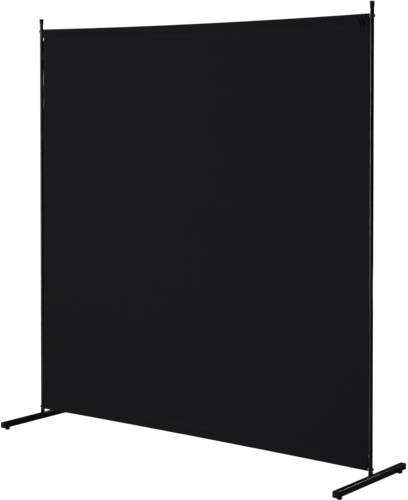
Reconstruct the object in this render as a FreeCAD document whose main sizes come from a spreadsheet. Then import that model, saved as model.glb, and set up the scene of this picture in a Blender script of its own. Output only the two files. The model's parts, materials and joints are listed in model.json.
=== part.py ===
"""Free-standing screen: one cloth panel stretched between two uprights that stand on swivel feet.

Frame: +Z up, X along the panel, the front is -Y. The origin is on the floor under the middle of
the panel. Lengths are in millimetres.
"""
import FreeCAD, Part
import math
import os
import Sketcher

# Driving dimensions: alias, value, meaning. Everything else is a formula of these.
SIZES = [
    ("overall_height", 1850, "floor to the top of the caps"),
    ("pole_spacing", 1750, "between the uprights' axes"),
    ("pole_diameter", 16, "outside of the uprights"),
    ("pole_wall", 1.0, "wall of the uprights"),
    ("joint_height", 950, "where an upright's two halves meet"),
    ("rod_diameter", 16, "outside of the cross rods"),
    ("rod_wall", 1.0, "wall of the cross rods"),
    ("swage_long", 60, "spigot of a swaged tube end"),
    ("swage_gap", 0.05, "radial gap round a swaged end"),
    ("panel_bottom", 55, "floor to the cloth's lower edge"),
    ("pole_show", 47, "upright and cap above the cloth"),
    ("cloth_thick", 1.0, "sewn cloth"),
    ("cloth_ease", 0.4, "gap between cloth and a tube inside it"),
    ("pocket_tuck", 24, "rod side of a pocket to its seam"),
    ("cloth_side_gap", 1.5, "cloth's side hem to an upright"),
    ("rod_bolt", 6, "rod bolt's shank"),
    ("rod_bolt_bite", 14, "rod bolt's thread inside its insert"),
    ("rod_head_wide", 10.5, "rod bolt's button head"),
    ("rod_head_high", 3.3, "rod bolt's button head"),
    ("rod_key", 4, "rod bolt's hexagon socket across flats"),
    ("rod_key_deep", 2.0, "rod bolt's hexagon socket"),
    ("bolt_play", 0.2, "radial play of a bolt in a plain hole"),
    ("saddle_thick", 2.0, "saddle at its thinnest"),
    ("saddle_horn", 2.5, "how far a saddle's sides reach round"),
    ("saddle_rim", 0.75, "saddle washer round a rod bolt's head"),
    ("insert_long", 22, "threaded insert in a tube end"),
    ("foot_long", 508, "foot over its end plugs"),
    ("foot_size", 25, "square foot tube outside"),
    ("foot_wall", 1.5, "foot tube wall"),
    ("foot_corner", 2.5, "foot tube's outer corner radius"),
    ("foot_clear", 11, "floor to the foot tube"),
    ("socket_high", 18, "pole socket on the foot"),
    ("socket_wall", 1.25, "pole socket wall"),
    ("socket_weld", 1.5, "weld round the pole socket"),
    ("running_gap", 0.06, "radial gap of a turning fit"),
    ("foot_bolt", 8, "foot bolt's shank"),
    ("foot_bolt_bite", 18.4, "foot bolt's thread inside its insert"),
    ("foot_head_flats", 13, "foot bolt's head across flats"),
    ("foot_head_high", 5.3, "foot bolt's head"),
    ("washer_rim", 1.5, "foot bolt's washer round its head"),
    ("washer_thick", 1.6, "foot bolt's washer"),
    ("bolt_door", 17, "hole under the foot that lets its bolt and washer in"),
    ("plug_lip", 2.0, "end plug's visible lip"),
    ("plug_deep", 14, "end plug inside the tube"),
    ("plug_wall", 2.0, "end plug's hollow skirt"),
    ("plug_gap", 0.1, "end plug in the tube, each side"),
    ("plug_round", 1.2, "end plug's rounded rim"),
    ("cap_high", 24, "cap on an upright"),
    ("cap_roof", 2.5, "cap above the tube's end"),
    ("cap_wall", 0.8, "cap at its mouth"),
    ("cap_bulge", 1.3, "cap at its fullest"),
    ("cap_lip", 1.6, "cap's top disc"),
    ("glide_inset", 30, "foot's end to a glide's axis"),
    ("stud_size", 8, "glide stud's thread"),
    ("stud_long", 21, "glide stud above its hexagon"),
    ("stud_flats", 13, "glide stud's hexagon"),
    ("stud_hex_high", 2.0, "glide stud's hexagon"),
    ("stud_foot_rim", 2.0, "glide stud's foot disc round its thread"),
    ("stud_foot_high", 3.0, "glide stud's foot disc"),
    ("pad_wall", 5.2, "glide pad round the stud's foot disc"),
    ("pad_taper", 2.8, "glide pad's rim over its base"),
    ("pad_floor", 2.0, "glide pad under the stud"),
    ("nut_wall", 1.94, "glide's threaded bush in the tube"),
    ("nut_high", 11, "glide's threaded bush in the tube"),
    ("nut_flange", 3.0, "glide's threaded bush round its tube hole"),
    ("nut_flange_high", 1.0, "glide's threaded bush below the tube"),
]

doc = FreeCAD.newDocument("RoomDivider")
sheet = doc.addObject("Spreadsheet::Sheet", "Sizes")
for row, (alias, size, meaning) in enumerate(SIZES, start=1):
    sheet.set("A%d" % row, alias)
    sheet.set("B%d" % row, str(size))
    sheet.set("C%d" % row, meaning)
    sheet.setAlias("B%d" % row, alias)
doc.recompute()

SIDES = {"left": "-1", "right": "1"}
ENDS = {"front": "-1", "rear": "1"}
ALONG_X = FreeCAD.Rotation(FreeCAD.Vector(0, 1, 0), 90)
AGAINST_X = FreeCAD.Rotation(FreeCAD.Vector(0, 1, 0), -90)
UPRIGHT = FreeCAD.Rotation()
nodes = []


def formula(text):
    """Write the aliases in a formula as cells of the sheet."""
    words = sorted((alias for alias, size, meaning in SIZES), key=len, reverse=True)
    parts = []
    word = ""
    for letter in text + " ":
        if letter.isalpha() or letter == "_":
            word += letter
            continue
        parts.append("Sizes." + word if word in words else word)
        parts.append(letter)
        word = ""
    return "".join(parts).strip()


def value(text):
    """Work a formula out as a plain number."""
    result = sheet.evalExpression(formula(text))
    return float(getattr(result, "Value", result))


# Places that several pieces share, as formulas of the driving dimensions.
POLE_R = "(pole_diameter / 2)"
POLE_BORE = "(pole_diameter / 2 - pole_wall)"
ROD_R = "(rod_diameter / 2)"
ROD_BORE = "(rod_diameter / 2 - rod_wall)"
FOOT_TOP = "(foot_clear + foot_size)"
LOW_ROD = "(panel_bottom + rod_diameter / 2 + cloth_ease + cloth_thick)"
HIGH_ROD = "(overall_height - pole_show - rod_diameter / 2 - cloth_ease - cloth_thick)"
ROD_HALF = "(pole_spacing / 2 - pole_diameter / 2 - saddle_thick)"
GLIDE_Y = "(foot_long / 2 - glide_inset)"
NUT_BOTTOM = "(foot_clear - nut_flange_high)"
PAD_TOP = "(foot_clear - nut_flange_high - stud_hex_high)"
NUT_BORE = "(stud_size / 2 + running_gap)"
NUT_R = "(stud_size / 2 + running_gap + nut_wall)"
STUD_FOOT_R = "(stud_size / 2 + stud_foot_rim)"
PAD_R = "(stud_size / 2 + stud_foot_rim + pad_wall)"
ROD_BOLT_LONG = "(2 * saddle_thick + pole_diameter + rod_bolt_bite)"
FOOT_BOLT_LONG = "(washer_thick + foot_wall + foot_bolt_bite)"
FOOT_BOLT_SEAT = "(foot_clear + foot_size - foot_wall - washer_thick)"
RODS = {"top": HIGH_ROD, "bottom": LOW_ROD}


def place(obj, x="0", y="0", z="0", turn=UPRIGHT):
    """Put an object at a place given by formulas."""
    obj.Placement = FreeCAD.Placement(FreeCAD.Vector(value(x), value(y), value(z)), turn)
    for axis, text in (("x", x), ("y", y), ("z", z)):
        if text != "0":
            obj.setExpression("Placement.Base." + axis, formula(text))


def new_body(label):
    """Start a piece, which is also a node."""
    body = doc.addObject("PartDesign::Body", label)
    body.Label = label
    nodes.append(body)
    return body


def new_sketch(body, name, role):
    """Attach a sketch to one of the body's own origin planes."""
    sketch = body.newObject("Sketcher::SketchObject", name)
    base = [item for item in body.Origin.OriginFeatures if item.Role == role][0]
    sketch.AttachmentSupport = (base, [""])
    sketch.MapMode = "FlatFace"
    return sketch


def pin(sketch, geometry, point, across, up):
    """Fix one point of a sketch at a place given by formulas."""
    for kind, axis, text in (("DistanceX", -2, across), ("DistanceY", -1, up)):
        if text == "0":
            sketch.addConstraint(Sketcher.Constraint("PointOnObject", geometry, point, axis))
            continue
        rule = Sketcher.Constraint(kind, -1, 1, geometry, point, value(text))
        index = sketch.addConstraint(rule)
        sketch.setExpression("Constraints[%d]" % index, formula(text))


def polygon(sketch, corners):
    """Draw a closed outline through corners given as pairs of formulas."""
    first = sketch.GeometryCount
    spots = [FreeCAD.Vector(value(across), value(up), 0) for across, up in corners]
    count = len(corners)
    for index in range(count):
        sketch.addGeometry(Part.LineSegment(spots[index], spots[(index + 1) % count]))
    for index in range(count):
        following = first + (index + 1) % count
        sketch.addConstraint(Sketcher.Constraint("Coincident", first + index, 2, following, 1))
        pin(sketch, first + index, 1, *corners[index])


def ring(sketch, diameter, across="0", up="0"):
    """Draw a circle whose centre and diameter are formulas."""
    spot = FreeCAD.Vector(value(across), value(up), 0)
    circle = sketch.addGeometry(Part.Circle(spot, FreeCAD.Vector(0, 0, 1), value(diameter) / 2))
    pin(sketch, circle, 3, across, up)
    index = sketch.addConstraint(Sketcher.Constraint("Diameter", circle, value(diameter)))
    sketch.setExpression("Constraints[%d]" % index, formula(diameter))


def rectangle(sketch, width, height):
    """Draw a rectangle centred on the sketch's origin."""
    right = "(%s) / 2" % width
    top = "(%s) / 2" % height
    left = "-(%s) / 2" % width
    low = "-(%s) / 2" % height
    polygon(sketch, [(left, low), (right, low), (right, top), (left, top)])


def lathe(label, outline):
    """Turn a half outline of (radius, height) pairs about the piece's own Z axis."""
    body = new_body(label)
    sketch = new_sketch(body, label + "_outline", "XZ_Plane")
    polygon(sketch, outline)
    turned = body.newObject("PartDesign::Revolution", label + "_turned")
    turned.Profile = sketch
    turned.ReferenceAxis = (sketch, ["V_Axis"])
    turned.Angle = 360
    doc.recompute()
    return body


def drill(body, name, diameter, role, across="0", up="0", both_ways=True, reverse=False):
    """Cut a round hole square to one of the body's origin planes."""
    before = body.Shape.Volume
    sketch = new_sketch(body, name + "_circle", role)
    ring(sketch, diameter, across, up)
    hole = body.newObject("PartDesign::Pocket", name)
    hole.Profile = sketch
    hole.Type = 1
    hole.Midplane = both_ways
    hole.Reversed = reverse
    doc.recompute()
    if body.Shape.Volume >= before:
        raise RuntimeError(name + " cuts nothing")


def round_edges(body, name, picks, radius):
    """Round the edges that picks accepts."""
    base = body.Tip
    chosen = ["Edge%d" % (n + 1) for n, edge in enumerate(base.Shape.Edges) if picks(edge)]
    if not chosen:
        raise RuntimeError(name + " finds no edge")
    fillet = body.newObject("PartDesign::Fillet", name)
    fillet.Base = (base, chosen)
    fillet.Radius = value(radius)
    fillet.setExpression("Radius", formula(radius))
    doc.recompute()


def hexagon(body, name, kind, flats, high, low):
    """Add or cut a hexagonal prism on the piece's own Z axis, starting at height low."""
    prism = body.newObject("PartDesign::" + kind, name)
    prism.Polygon = 6
    prism.setExpression("Circumradius", formula("(%s) / sqrt(3)" % flats))
    prism.setExpression("Height", formula(high))
    prism.Placement = FreeCAD.Placement(FreeCAD.Vector(0, 0, value(low)), UPRIGHT)
    if low != "0":
        prism.setExpression("Placement.Base.z", formula(low))
    doc.recompute()


def plain_tube(label, radius, bore, length):
    """Straight tube, standing on its own origin."""
    return lathe(label, [(bore, "0"), (radius, "0"), (radius, length), (bore, length)])


def swaged_tube(label, radius, bore, length):
    """Tube with a narrowed spigot below its own origin, which fits a plain tube's bore."""
    spigot = "(%s - swage_gap)" % bore
    inner = "(%s - (%s - %s))" % (spigot, radius, bore)
    cone = "(%s - %s)" % (radius, inner)
    outline = [
        (inner, "-swage_long"), (spigot, "-swage_long"), (spigot, "0"), (radius, "0"),
        (radius, length), (bore, length), (bore, cone), (inner, "0"),
    ]
    return lathe(label, outline)


def build_uprights(side, sign):
    """Lower and upper half of one upright, with the holes for the rod bolts."""
    lower = plain_tube(side + "_lower_upright", POLE_R, POLE_BORE, "joint_height - " + FOOT_TOP)
    drill(lower, side + "_low_bolt_hole", "rod_bolt + 2 * bolt_play", "YZ_Plane",
          up=LOW_ROD + " - " + FOOT_TOP)
    place(lower, x=sign + " * pole_spacing / 2", z=FOOT_TOP)
    length = "overall_height - cap_roof - joint_height"
    upper = swaged_tube(side + "_upper_upright", POLE_R, POLE_BORE, length)
    drill(upper, side + "_high_bolt_hole", "rod_bolt + 2 * bolt_play", "YZ_Plane",
          up=HIGH_ROD + " - joint_height")
    place(upper, x=sign + " * pole_spacing / 2", z="joint_height")


def build_cap(side, sign):
    """Push-on cap with a disc on top and a soft belly."""
    roof = "(cap_high - cap_roof)"
    outline = [
        (POLE_R, "0"), (POLE_R, roof), ("0", roof), ("0", "cap_high"),
        (POLE_R + " + cap_lip", "cap_high"), (POLE_R + " + cap_lip", roof + " - 1"),
        (POLE_R + " + cap_wall", roof + " - 2"), (POLE_R + " + cap_bulge", "cap_high * 0.45"),
        (POLE_R + " + cap_bulge", "cap_high * 0.3"), (POLE_R + " + cap_wall", "0"),
    ]
    cap = lathe(side + "_top_cap", outline)
    rim = value(POLE_R + " + cap_lip")
    high = value("cap_high")
    round_edges(cap, side + "_cap_rim",
                lambda edge: abs(edge.BoundBox.ZMin - high) < 0.01 and edge.BoundBox.XMax > rim - 0.01,
                "cap_roof * 0.4")
    place(cap, x=sign + " * pole_spacing / 2", z="overall_height - cap_high")


def build_rod(level, height):
    """The two halves of a cross rod, the left one swaged into the right one."""
    right = plain_tube(level + "_rod_right", ROD_R, ROD_BORE, ROD_HALF)
    place(right, z=height, turn=ALONG_X)
    left = swaged_tube(level + "_rod_left", ROD_R, ROD_BORE, ROD_HALF)
    place(left, z=height, turn=AGAINST_X)


def cope(body, name, distance):
    """Cut the upright's round side out of a piece that sits against it."""
    drill(body, name, "pole_diameter", "YZ_Plane", up=distance)


def build_rod_end(level, height, side, sign, outward, inward):
    """What joins a rod to an upright: threaded insert, saddle washer and bolt."""
    name = level + "_" + side
    insert = lathe(name + "_rod_insert", [
        ("rod_bolt / 2", "-insert_long"), (ROD_BORE, "-insert_long"), (ROD_BORE, "0"),
        (ROD_R, "0"), (ROD_R, "saddle_thick + saddle_horn"),
        ("rod_bolt / 2", "saddle_thick + saddle_horn")])
    cope(insert, name + "_insert_cope", "saddle_thick + " + POLE_R)
    place(insert, x=sign + " * " + ROD_HALF, z=height, turn=outward)

    washer_r = "(rod_head_wide / 2 + saddle_rim)"
    washer = lathe(name + "_saddle_washer", [
        ("rod_bolt / 2 + bolt_play", "0"), (washer_r, "0"),
        (washer_r, "saddle_thick + saddle_horn"),
        ("rod_bolt / 2 + bolt_play", "saddle_thick + saddle_horn")])
    cope(washer, name + "_washer_cope", "saddle_thick + " + POLE_R)
    seat = "(pole_spacing / 2 + pole_diameter / 2 + saddle_thick)"
    place(washer, x=sign + " * " + seat, z=height, turn=inward)

    bolt = lathe(name + "_rod_bolt", [
        ("0", "-rod_head_high"), ("rod_head_wide * 0.3", "-rod_head_high"),
        ("rod_head_wide * 0.44", "-rod_head_high * 0.6"), ("rod_head_wide / 2", "0"),
        ("rod_bolt / 2", "0"), ("rod_bolt / 2", ROD_BOLT_LONG), ("0", ROD_BOLT_LONG)])
    hexagon(bolt, name + "_rod_bolt_key", "SubtractivePrism", "rod_key", "rod_key_deep",
            "-rod_head_high")
    place(bolt, x=sign + " * " + seat, z=height, turn=inward)


def build_pole_base(side, sign):
    """Threaded insert in the upright's lower end, with the foot bolt and washer inside the foot."""
    insert = lathe(side + "_upright_insert", [
        ("foot_bolt / 2", "0"), (POLE_BORE, "0"), (POLE_BORE, "insert_long"),
        ("foot_bolt / 2", "insert_long")])
    place(insert, x=sign + " * pole_spacing / 2", z=FOOT_TOP)

    washer_r = "(foot_head_flats / 2 + washer_rim)"
    washer = lathe(side + "_foot_washer", [
        ("foot_bolt / 2 + bolt_play", "0"), (washer_r, "0"),
        (washer_r, "washer_thick"), ("foot_bolt / 2 + bolt_play", "washer_thick")])
    place(washer, x=sign + " * pole_spacing / 2", z=FOOT_BOLT_SEAT)

    bolt = lathe(side + "_foot_bolt", [
        ("0", "-foot_head_high / 2"), ("foot_bolt / 2", "-foot_head_high / 2"),
        ("foot_bolt / 2", FOOT_BOLT_LONG), ("0", FOOT_BOLT_LONG)])
    hexagon(bolt, side + "_foot_bolt_head", "AdditivePrism", "foot_head_flats",
            "foot_head_high", "-foot_head_high")
    place(bolt, x=sign + " * pole_spacing / 2", z=FOOT_BOLT_SEAT)


def build_foot_tube(side, sign):
    """Square tube with rounded corners and holes for the foot bolt and the glides' bushes."""
    body = new_body(side + "_foot_tube")
    length = "(foot_long - 2 * plug_lip)"
    outer = new_sketch(body, side + "_foot_outside", "XZ_Plane")
    rectangle(outer, "foot_size", "foot_size")
    pad = body.newObject("PartDesign::Pad", side + "_foot_bar")
    pad.Profile = outer
    pad.Midplane = True
    pad.setExpression("Length", formula(length))
    doc.recompute()
    long_edge = value(length) - 0.01
    round_edges(body, side + "_foot_corners", lambda edge: edge.Length > long_edge, "foot_corner")
    inner = new_sketch(body, side + "_foot_inside", "XZ_Plane")
    rectangle(inner, "foot_size - 2 * foot_wall", "foot_size - 2 * foot_wall")
    hollow = body.newObject("PartDesign::Pocket", side + "_foot_hollow")
    hollow.Profile = inner
    hollow.Type = 1
    hollow.Midplane = True
    doc.recompute()
    drill(body, side + "_foot_bolt_hole", "foot_bolt + 2 * running_gap", "XY_Plane",
          both_ways=False, reverse=True)
    drill(body, side + "_foot_bolt_door", "bolt_door", "XY_Plane", both_ways=False)
    for end, way in ENDS.items():
        drill(body, side + "_" + end + "_bush_hole", "2 * " + NUT_R, "XY_Plane",
              up=way + " * " + GLIDE_Y, both_ways=False)
    place(body, x=sign + " * pole_spacing / 2", z="foot_clear + foot_size / 2")
    return body


def build_socket(side, sign):
    """Round socket welded on the foot, in which the upright turns."""
    bore = "(pole_diameter / 2 + running_gap)"
    outside = "(%s + socket_wall)" % bore
    socket = lathe(side + "_pole_socket", [
        (bore, "0"), (outside + " + socket_weld", "0"), (outside, "socket_weld"),
        (outside, "socket_high - socket_wall"), (bore + " + socket_wall * 0.3", "socket_high"),
        (bore, "socket_high")])
    place(socket, x=sign + " * pole_spacing / 2", z=FOOT_TOP)


def build_plug(side, sign, end, way):
    """Moulded end plug: a lip the size of the tube and a hollow skirt inside it."""
    label = side + "_" + end + "_end_plug"
    body = new_body(label)
    lip = new_sketch(body, label + "_lip_outline", "XZ_Plane")
    rectangle(lip, "foot_size", "foot_size")
    lip_pad = body.newObject("PartDesign::Pad", label + "_lip")
    lip_pad.Profile = lip
    lip_pad.setExpression("Length", formula("plug_lip"))
    doc.recompute()
    outward = -1 if body.Shape.BoundBox.YMin < -0.1 else 1
    lip_high = value("plug_lip")
    round_edges(body, label + "_corners",
                lambda edge: abs(edge.Length - lip_high) < 0.01, "foot_corner")
    round_edges(body, label + "_rim",
                lambda edge: abs(edge.BoundBox.YMin - outward * lip_high) < 0.01
                and abs(edge.BoundBox.YMax - outward * lip_high) < 0.01,
                "plug_round")
    skirt = new_sketch(body, label + "_skirt_outline", "XZ_Plane")
    rectangle(skirt, "foot_size - 2 * foot_wall - 2 * plug_gap",
              "foot_size - 2 * foot_wall - 2 * plug_gap")
    rectangle(skirt, "foot_size - 2 * foot_wall - 2 * plug_gap - 2 * plug_wall",
              "foot_size - 2 * foot_wall - 2 * plug_gap - 2 * plug_wall")
    skirt_pad = body.newObject("PartDesign::Pad", label + "_skirt")
    skirt_pad.Profile = skirt
    skirt_pad.Reversed = True
    skirt_pad.setExpression("Length", formula("plug_deep"))
    doc.recompute()
    facing = FreeCAD.Rotation(FreeCAD.Vector(0, 0, 1), 0 if outward == int(way) else 180)
    place(body, x=sign + " * pole_spacing / 2", y=way + " * (foot_long / 2 - plug_lip)",
          z="foot_clear + foot_size / 2", turn=facing)


def build_glide(side, sign, end, way):
    """Screw glide: bush in the foot, stud that turns in it, and the pad that stands on the floor."""
    name = side + "_" + end
    spot = {"x": sign + " * pole_spacing / 2", "y": way + " * " + GLIDE_Y}
    bush = lathe(name + "_glide_bush", [
        (NUT_BORE, "0"), (NUT_R + " + nut_flange", "0"),
        (NUT_R + " + nut_flange", "nut_flange_high"), (NUT_R, "nut_flange_high"),
        (NUT_R, "nut_flange_high + nut_high"), (NUT_BORE, "nut_flange_high + nut_high")])
    place(bush, z=NUT_BOTTOM, **spot)

    foot_top = "(pad_floor + stud_foot_high)"
    stud = lathe(name + "_glide_stud", [
        ("0", "pad_floor"), (STUD_FOOT_R, "pad_floor"), (STUD_FOOT_R, foot_top),
        ("stud_size / 2", foot_top), ("stud_size / 2", NUT_BOTTOM + " + stud_long"),
        ("0", NUT_BOTTOM + " + stud_long")])
    hexagon(stud, name + "_glide_hexagon", "AdditivePrism", "stud_flats", "stud_hex_high", PAD_TOP)
    place(stud, **spot)

    cavity = "(%s + running_gap)" % STUD_FOOT_R
    pad = lathe(name + "_glide_pad", [
        ("0", "0"), (PAD_R + " - pad_taper", "0"), (PAD_R + " - pad_taper / 4", PAD_TOP + " * 0.38"),
        (PAD_R, PAD_TOP + " * 0.7"), (PAD_R, PAD_TOP), (NUT_BORE, PAD_TOP),
        (NUT_BORE, foot_top), (cavity, foot_top), (cavity, "pad_floor"), ("0", "pad_floor")])
    place(pad, **spot)


def teardrop(name, radius, tuck, level, height, reach):
    """Prism along X whose section is round on the rod and closes to the pocket's seam."""
    sketch = doc.addObject("Sketcher::SketchObject", name + "_section")
    size = value(radius)
    tip = value("%s + %s" % (radius, tuck))
    lean = math.acos(size / tip)
    touch = FreeCAD.Vector(size * math.cos(lean), size * math.sin(lean), 0)
    below = FreeCAD.Vector(touch.x, -touch.y, 0)
    point = FreeCAD.Vector(tip, 0, 0)
    circle = Part.Circle(FreeCAD.Vector(0, 0, 0), FreeCAD.Vector(0, 0, 1), size)
    sketch.addGeometry(Part.ArcOfCircle(circle, lean, 2 * math.pi - lean))
    sketch.addGeometry(Part.LineSegment(point, touch))
    sketch.addGeometry(Part.LineSegment(below, point))
    sketch.addConstraint(Sketcher.Constraint("Coincident", 0, 3, -1, 1))
    sketch.addConstraint(Sketcher.Constraint("Tangent", 1, 2, 0, 1))
    sketch.addConstraint(Sketcher.Constraint("Tangent", 2, 1, 0, 2))
    sketch.addConstraint(Sketcher.Constraint("Coincident", 2, 2, 1, 1))
    sketch.addConstraint(Sketcher.Constraint("PointOnObject", 1, 1, -1))
    index = sketch.addConstraint(Sketcher.Constraint("Radius", 0, size))
    sketch.setExpression("Constraints[%d]" % index, formula(radius))
    index = sketch.addConstraint(Sketcher.Constraint("DistanceX", -1, 1, 1, 1, tip))
    sketch.setExpression("Constraints[%d]" % index, formula("%s + %s" % (radius, tuck)))
    seam_way = -1 if level == "top" else 1
    turn = FreeCAD.Rotation(FreeCAD.Vector(0, 0, seam_way), FreeCAD.Vector(0, -seam_way, 0),
                            FreeCAD.Vector(1, 0, 0), "ZXY")
    place(sketch, x="-" + reach, z=height, turn=turn)
    prism = doc.addObject("Part::Extrusion", name)
    prism.Base = sketch
    prism.DirMode = "Normal"
    prism.Solid = True
    prism.setExpression("LengthFwd", formula("2 * " + reach))
    return prism


def build_cloth():
    """The sewn cloth as one closed solid: a flat sheet with a pocket round each cross rod."""
    inside_r = "(rod_diameter / 2 + cloth_ease)"
    outside_r = "(%s + cloth_thick)" % inside_r
    outside_tuck = "pocket_tuck * (1 + cloth_thick / %s)" % inside_r
    side_x = "(pole_spacing / 2 - pole_diameter / 2 - cloth_side_gap)"
    beyond = "(%s + rod_diameter)" % side_x
    low_seam = "(%s + %s + pocket_tuck)" % (LOW_ROD, inside_r)
    high_seam = "(%s - %s - pocket_tuck)" % (HIGH_ROD, inside_r)

    flat = doc.addObject("Part::Box", "cloth_sheet")
    flat.setExpression("Length", formula("2 * " + side_x))
    flat.setExpression("Width", formula("cloth_thick"))
    flat.setExpression("Height", formula("%s - %s" % (high_seam, low_seam)))
    place(flat, x="-" + side_x, y="-cloth_thick / 2", z=low_seam)

    outsides = [flat]
    insides = []
    for level, height in RODS.items():
        outsides.append(teardrop(level + "_pocket_outside", outside_r, outside_tuck,
                                 level, height, side_x))
        insides.append(teardrop(level + "_pocket_inside", inside_r, "pocket_tuck",
                                level, height, beyond))
    outside = doc.addObject("Part::MultiFuse", "cloth_outside")
    outside.Shapes = outsides
    inside = doc.addObject("Part::MultiFuse", "cloth_inside")
    inside.Shapes = insides
    cloth = doc.addObject("Part::Cut", "fabric_panel")
    cloth.Base = outside
    cloth.Tool = inside
    cloth.Label = "fabric_panel"
    nodes.append(cloth)


for side, sign in SIDES.items():
    build_uprights(side, sign)
    build_cap(side, sign)
    build_pole_base(side, sign)
    build_foot_tube(side, sign)
    build_socket(side, sign)
    for end, way in ENDS.items():
        build_plug(side, sign, end, way)
        build_glide(side, sign, end, way)
for level, height in RODS.items():
    build_rod(level, height)
    build_rod_end(level, height, "left", "-1", AGAINST_X, ALONG_X)
    build_rod_end(level, height, "right", "1", ALONG_X, AGAINST_X)
build_cloth()
doc.recompute()

faults = [obj.Name for obj in doc.Objects if "Invalid" in obj.State or "Error" in obj.State]
faults += [node.Label for node in nodes if node.Shape.isNull() or not node.Shape.isValid()]
if faults:
    raise RuntimeError("failed: " + ", ".join(faults))

os.makedirs("parts", exist_ok=True)
for node in nodes:
    node.Shape.exportStep("parts/%s.step" % node.Label)
    box = node.Shape.BoundBox
    print("%-26s solids %d volume %10.1f  x %8.2f %8.2f  y %8.2f %8.2f  z %8.2f %8.2f" % (
        node.Label, len(node.Shape.Solids), node.Shape.Volume,
        box.XMin, box.XMax, box.YMin, box.YMax, box.ZMin, box.ZMax))
print("nodes:", len(nodes))
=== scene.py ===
"""Room divider screen: its cloth, finishes and studio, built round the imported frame.

Lengths are in metres. +Z is up, X runs along the panel and the front is -Y.
"""

import json
import math

import bmesh
import bpy
import numpy as np
from mathutils import Euler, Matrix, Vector, noise


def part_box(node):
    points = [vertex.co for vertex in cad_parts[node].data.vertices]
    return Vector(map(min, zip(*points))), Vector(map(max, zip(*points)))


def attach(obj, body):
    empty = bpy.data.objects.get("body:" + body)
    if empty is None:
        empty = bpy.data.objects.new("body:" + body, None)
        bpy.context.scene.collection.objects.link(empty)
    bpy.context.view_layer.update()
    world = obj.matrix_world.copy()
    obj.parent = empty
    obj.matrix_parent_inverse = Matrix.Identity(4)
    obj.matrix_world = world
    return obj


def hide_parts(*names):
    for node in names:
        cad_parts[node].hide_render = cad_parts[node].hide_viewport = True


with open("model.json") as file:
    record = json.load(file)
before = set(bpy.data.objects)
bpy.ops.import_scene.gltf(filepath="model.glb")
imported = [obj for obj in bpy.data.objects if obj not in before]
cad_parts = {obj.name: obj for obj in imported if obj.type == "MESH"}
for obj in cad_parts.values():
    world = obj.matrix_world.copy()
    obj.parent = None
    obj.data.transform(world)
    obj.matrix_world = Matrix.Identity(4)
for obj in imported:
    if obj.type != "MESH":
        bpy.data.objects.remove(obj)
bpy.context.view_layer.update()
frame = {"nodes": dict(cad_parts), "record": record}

bl_info = {
    "name": "Room divider screen",
    "version": (1, 0, 0),
    "blender": (4, 5, 0),
    "location": "View3D > Sidebar > Room Divider",
    "description": "A cloth panel stretched in a tube frame on swivel feet",
    "category": "Object",
}

MM = 0.001
LEVELS = ("top", "bottom")

# How far a pocket's seam lies from its rod's axis, and how gently the pocket closes there.
POCKET_DEPTH = 0.0324
MOUTH_EASE = 0.006

# ----------------------------------------
# Settings
# ----------------------------------------


class ClothSettings(bpy.types.PropertyGroup):
    """Sizes and colours of the sewn cloth."""

    layer: bpy.props.FloatProperty(
        name="Cloth Thickness", description="One layer of the cloth",
        default=0.0005, min=0.0002, max=0.002, precision=5, subtype="DISTANCE", unit="LENGTH")
    side_hem: bpy.props.FloatProperty(
        name="Side Hem", description="Width turned back along each side",
        default=0.012, min=0.005, max=0.04, precision=4, subtype="DISTANCE", unit="LENGTH")
    seam_allowance: bpy.props.FloatProperty(
        name="Seam Allowance", description="Width of a pocket's flap beyond its seam",
        default=0.011, min=0.006, max=0.03, precision=4, subtype="DISTANCE", unit="LENGTH")
    stitch: bpy.props.FloatProperty(
        name="Stitch Length", description="From one needle hole to the next",
        default=0.0036, min=0.002, max=0.008, precision=4, subtype="DISTANCE", unit="LENGTH")
    thread: bpy.props.FloatProperty(
        name="Thread Diameter", description="Thickness of the sewing thread",
        default=0.0005, min=0.0002, max=0.001, precision=5, subtype="DISTANCE", unit="LENGTH")
    pucker: bpy.props.FloatProperty(
        name="Seam Pucker", description="How strongly the seams gather the cloth",
        default=1.0, min=0.0, max=2.0, subtype="FACTOR")
    top_bow: bpy.props.FloatProperty(
        name="Top Bow", description="How far the stretched cloth draws the top rod down",
        default=0.0075, min=0.0, max=0.02, precision=4, subtype="DISTANCE", unit="LENGTH")
    low_bow: bpy.props.FloatProperty(
        name="Bottom Bow", description="How far the stretched cloth draws the bottom rod up",
        default=0.0042, min=0.0, max=0.02, precision=4, subtype="DISTANCE", unit="LENGTH")
    colour: bpy.props.FloatVectorProperty(
        name="Cloth Colour", description="Colour of the woven cloth",
        default=(0.0057, 0.0054, 0.0065), min=0.0, max=1.0, size=3, subtype="COLOR")
    thread_colour: bpy.props.FloatVectorProperty(
        name="Thread Colour", description="Colour of the sewing thread",
        default=(0.010, 0.010, 0.011), min=0.0, max=1.0, size=3, subtype="COLOR")


class FinishSettings(bpy.types.PropertyGroup):
    """Colours of the frame's finishes."""

    paint: bpy.props.FloatVectorProperty(
        name="Paint", description="Powder coat on the tubes",
        default=(0.0014, 0.0014, 0.0016), min=0.0, max=1.0, size=3, subtype="COLOR")
    paint_roughness: bpy.props.FloatProperty(
        name="Paint Roughness", description="How matt the powder coat is",
        default=0.24, min=0.0, max=1.0, subtype="FACTOR")
    plastic: bpy.props.FloatVectorProperty(
        name="Plastic", description="Moulded caps, plugs and glides",
        default=(0.0036, 0.0036, 0.0039), min=0.0, max=1.0, size=3, subtype="COLOR")
    zinc: bpy.props.FloatVectorProperty(
        name="Zinc", description="Zinc plate on the fixings",
        default=(0.62, 0.64, 0.66), min=0.0, max=1.0, size=3, subtype="COLOR")


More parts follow.
